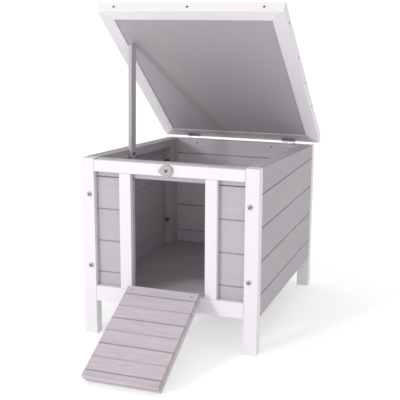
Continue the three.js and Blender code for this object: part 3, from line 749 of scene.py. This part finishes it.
# hinge leaves: two flat screws in each
hingeLook = {
    "radius": 0.0024, "rise": 0.00006, "sink": 0.0005, "apart": 0.0112, "fromPin": 0.0125, "face": 0.0002,
}
seatFall = math.atan2(0.025, 0.52)      # the walls' top edge falls this much to the rear
seatBack = Vector((0, math.cos(seatFall), -math.sin(seatFall)))
seatUp = Vector((0, math.sin(seatFall), math.cos(seatFall)))
fixedPlaces, movingPlaces = [], []
for hand in ("left", "right"):
    low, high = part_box(f"lid_{hand}_hinge_fixed")
    middle = (low[0] + high[0]) / 2
    for step in (-hingeLook["apart"], hingeLook["apart"]):
        pin = Vector((middle + step, lidPin.y, lidPin.z))
        fixedPlaces.append((pin - seatBack * hingeLook["fromPin"] - seatUp * hingeLook["face"], seatUp))
        movingPlaces.append((pin - lidBack * hingeLook["fromPin"] + lidUp * hingeLook["face"], -lidUp))
screwSet("lid_hinge_screws_fixed", "body", fixedPlaces, hingeLook, ("zinc", "zincDark"))
screwSet("lid_hinge_screws_moving", "lid", movingPlaces, hingeLook, ("zinc", "zincDark"))

# rear wall: two screws near its top edge, seen inside
wallScrewLook = {"radius": 0.0021, "rise": 0.0004, "sink": 0.001, "x": (-0.114, 0.092), "height": 0.366}
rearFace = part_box("rear_boards")[0][1]
wallPlaces = [(Vector((x, rearFace, wallScrewLook["height"])), (0, -1, 0)) for x in wallScrewLook["x"]]
screwSet("rear_wall_screws", "body", wallPlaces, wallScrewLook, ("zincDark", "zincDark"))

# ramp: nails through the strip at its top end
nailLook = {"radius": 0.0017, "rise": 0.0003, "sink": 0.001, "x": (-0.068, 0.068), "along": 0.0155}
rampFace = max((vert.co - rampPin).dot(rampIn) for vert in bpy.data.objects["ramp_deck"].data.vertices)
nailRow = rampPin + rampIn * rampFace + rampDown * nailLook["along"]
nailPlaces = [(nailRow + Vector((x, 0, 0)), rampIn) for x in nailLook["x"]]
screwSet("ramp_nails", "ramp", nailPlaces, nailLook, ("zincDark", "zincDark"))


def screwFromNode(node, outward, look, finishNames):
    # the screw of the node with a crossed head; the shank stays as sawn in the CAD
    low, high = (Vector(corner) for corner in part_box(node))
    bm = nodeMesh(node)
    axis = 0 if abs(outward[0]) > 0.5 else 1
    face = (low + high) / 2
    face[axis] = high[axis] if outward[axis] > 0 else low[axis]
    screwHead(bm, face, outward, look)
    return finishPiece(bm, node + "_shaped", bodyOf[node], finishNames, (node,))


stayScrewLook = {"radius": 0.0036, "rise": 0.0005, "sink": 0.0006}
turnScrewLook = {"radius": 0.0023, "rise": 0.0004, "sink": 0.0004}
screwFromNode("stay_screw", (1, 0, 0), stayScrewLook, ("zincDark", "zincDark"))
screwFromNode("turn_screw", (0, -1, 0), turnScrewLook, ("copper", "zincDark"))
print("bolts, screws and nails made")


# turn button: the plate with a rounded rim

buttonLook = {"rim": 0.0014, "segments": 3, "hole": 0.004, "sharp": math.radians(60)}
bm = nodeMesh("turn_button")
centre = jointAt["button_swivel"]
rim = []
for edge in bm.edges:
    fromScrew = [math.hypot(vert.co.x - centre.x, vert.co.z - centre.z) for vert in edge.verts]
    if min(fromScrew) > buttonLook["hole"] and edge.calc_face_angle(0) > buttonLook["sharp"]:
        rim.append(edge)
roundEdges(bm, rim, buttonLook["rim"], buttonLook["segments"])
finishPiece(bm, "turn_button_shaped", "turn_button", ("buttonGrey",), ("turn_button",))

for hand in ("left", "right"):
    for owner in ("lid", "ramp"):
        for leaf in ("fixed", "moving"):
            leafObject = bpy.data.objects[f"{owner}_{hand}_hinge_{leaf}"]
            for materialSlot in leafObject.material_slots:
                materialSlot.material = finishes["zinc"]
print("button and hinges finished")


# floor, light and camera

def makeFloor():
    look = {"size": 7, "pale": (0.73, 0.73, 0.73), "grey": (0.71, 0.71, 0.71), "glow": 0.4, "rough": 0.9}
    bm = bmesh.new()
    bmesh.ops.create_grid(bm, x_segments=8, y_segments=8, size=look["size"])
    mesh = bpy.data.meshes.new("floor")
    bm.to_mesh(mesh)
    bm.free()
    floor = bpy.data.objects.new("floor", mesh)
    bpy.context.scene.collection.objects.link(floor)
    material, tree, shader = startMaterial("paleFloor")
    vector = placedVector(tree, (0, 0, 0))
    marks = useGroup(tree, handling, (-4, 0), Vector=vector)
    colour = blendColours(tree, marks.outputs["Smudge"], look["pale"], look["grey"], (-2, 0))
    wire(tree, colour, shader.inputs["Base Color"])
    shader.inputs["Emission Color"].default_value = (1, 1, 1, 1)
    shader.inputs["Emission Strength"].default_value = look["glow"]
    shader.inputs["Roughness"].default_value = look["rough"]
    mesh.materials.append(material)


def addLamp(name, place, target, size, power):
    data = bpy.data.lights.new(name, "AREA")
    data.shape = "DISK"
    data.size = size
    data.energy = power
    lamp = bpy.data.objects.new(name, data)
    lamp.location = place
    lamp.rotation_euler = (Vector(target) - Vector(place)).to_track_quat("-Z", "Y").to_euler()
    bpy.context.scene.collection.objects.link(lamp)


def makeLight():
    look = {
        "azimuth": 23.7, "elevation": 14, "distance": 4.2, "size": 0.6, "power": 59,
        "sky": 0.88, "seen": 1.05,
    }
    around, above = math.radians(look["azimuth"]), math.radians(look["elevation"])
    aim = Vector((0, 0, 0.3))
    back = Vector((-math.sin(around) * math.cos(above), -math.cos(around) * math.cos(above), math.sin(above)))
    addLamp("key", aim + back * look["distance"], aim, look["size"], look["power"])
    world = bpy.data.worlds.new("studio")
    world.use_nodes = True
    sky = world.node_tree.nodes["Background"]
    sky.inputs["Color"].default_value = (1, 0.99, 1, 1)
    seen = world.node_tree.nodes.new("ShaderNodeLightPath")    # the backdrop is white where it is seen
    strength = world.node_tree.nodes.new("ShaderNodeMapRange")
    strength.inputs["To Min"].default_value = look["sky"]
    strength.inputs["To Max"].default_value = look["seen"]
    wire(world.node_tree, seen.outputs["Is Camera Ray"], strength.inputs["Value"])
    wire(world.node_tree, strength.outputs[0], sky.inputs["Strength"])
    bpy.context.scene.world = world
    bpy.context.scene.view_settings.view_transform = "Standard"


def makeCamera():
    look = {
        "azimuth": 19.69, "elevation": 12.63, "roll": 0.24, "lens": 73.99,
        "aside": 0.6309, "away": 1.5586, "height": 0.6979,
    }
    eye = Vector((look["aside"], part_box("front_left_post")[0][1] - look["away"], look["height"]))
    around, above, roll = (math.radians(look[angle]) for angle in ("azimuth", "elevation", "roll"))
    flat = math.cos(above)
    forward = Vector((-math.sin(around) * flat, math.cos(around) * flat, -math.sin(above)))
    level = Vector((math.cos(around), math.sin(around), 0))
    upward = level.cross(forward)
    right = level * math.cos(roll) + upward * math.sin(roll)
    top = upward * math.cos(roll) - level * math.sin(roll)
    data = bpy.data.cameras.new("camera")
    data.lens = look["lens"]
    data.sensor_width = 36
    camera = bpy.data.objects.new("camera", data)
    turn = Matrix((right, top, -forward)).transposed().to_4x4()
    camera.matrix_world = Matrix.Translation(eye) @ turn
    bpy.context.scene.collection.objects.link(camera)
    bpy.context.scene.camera = camera


makeFloor()
makeLight()
makeCamera()
print("floor, light and camera set")
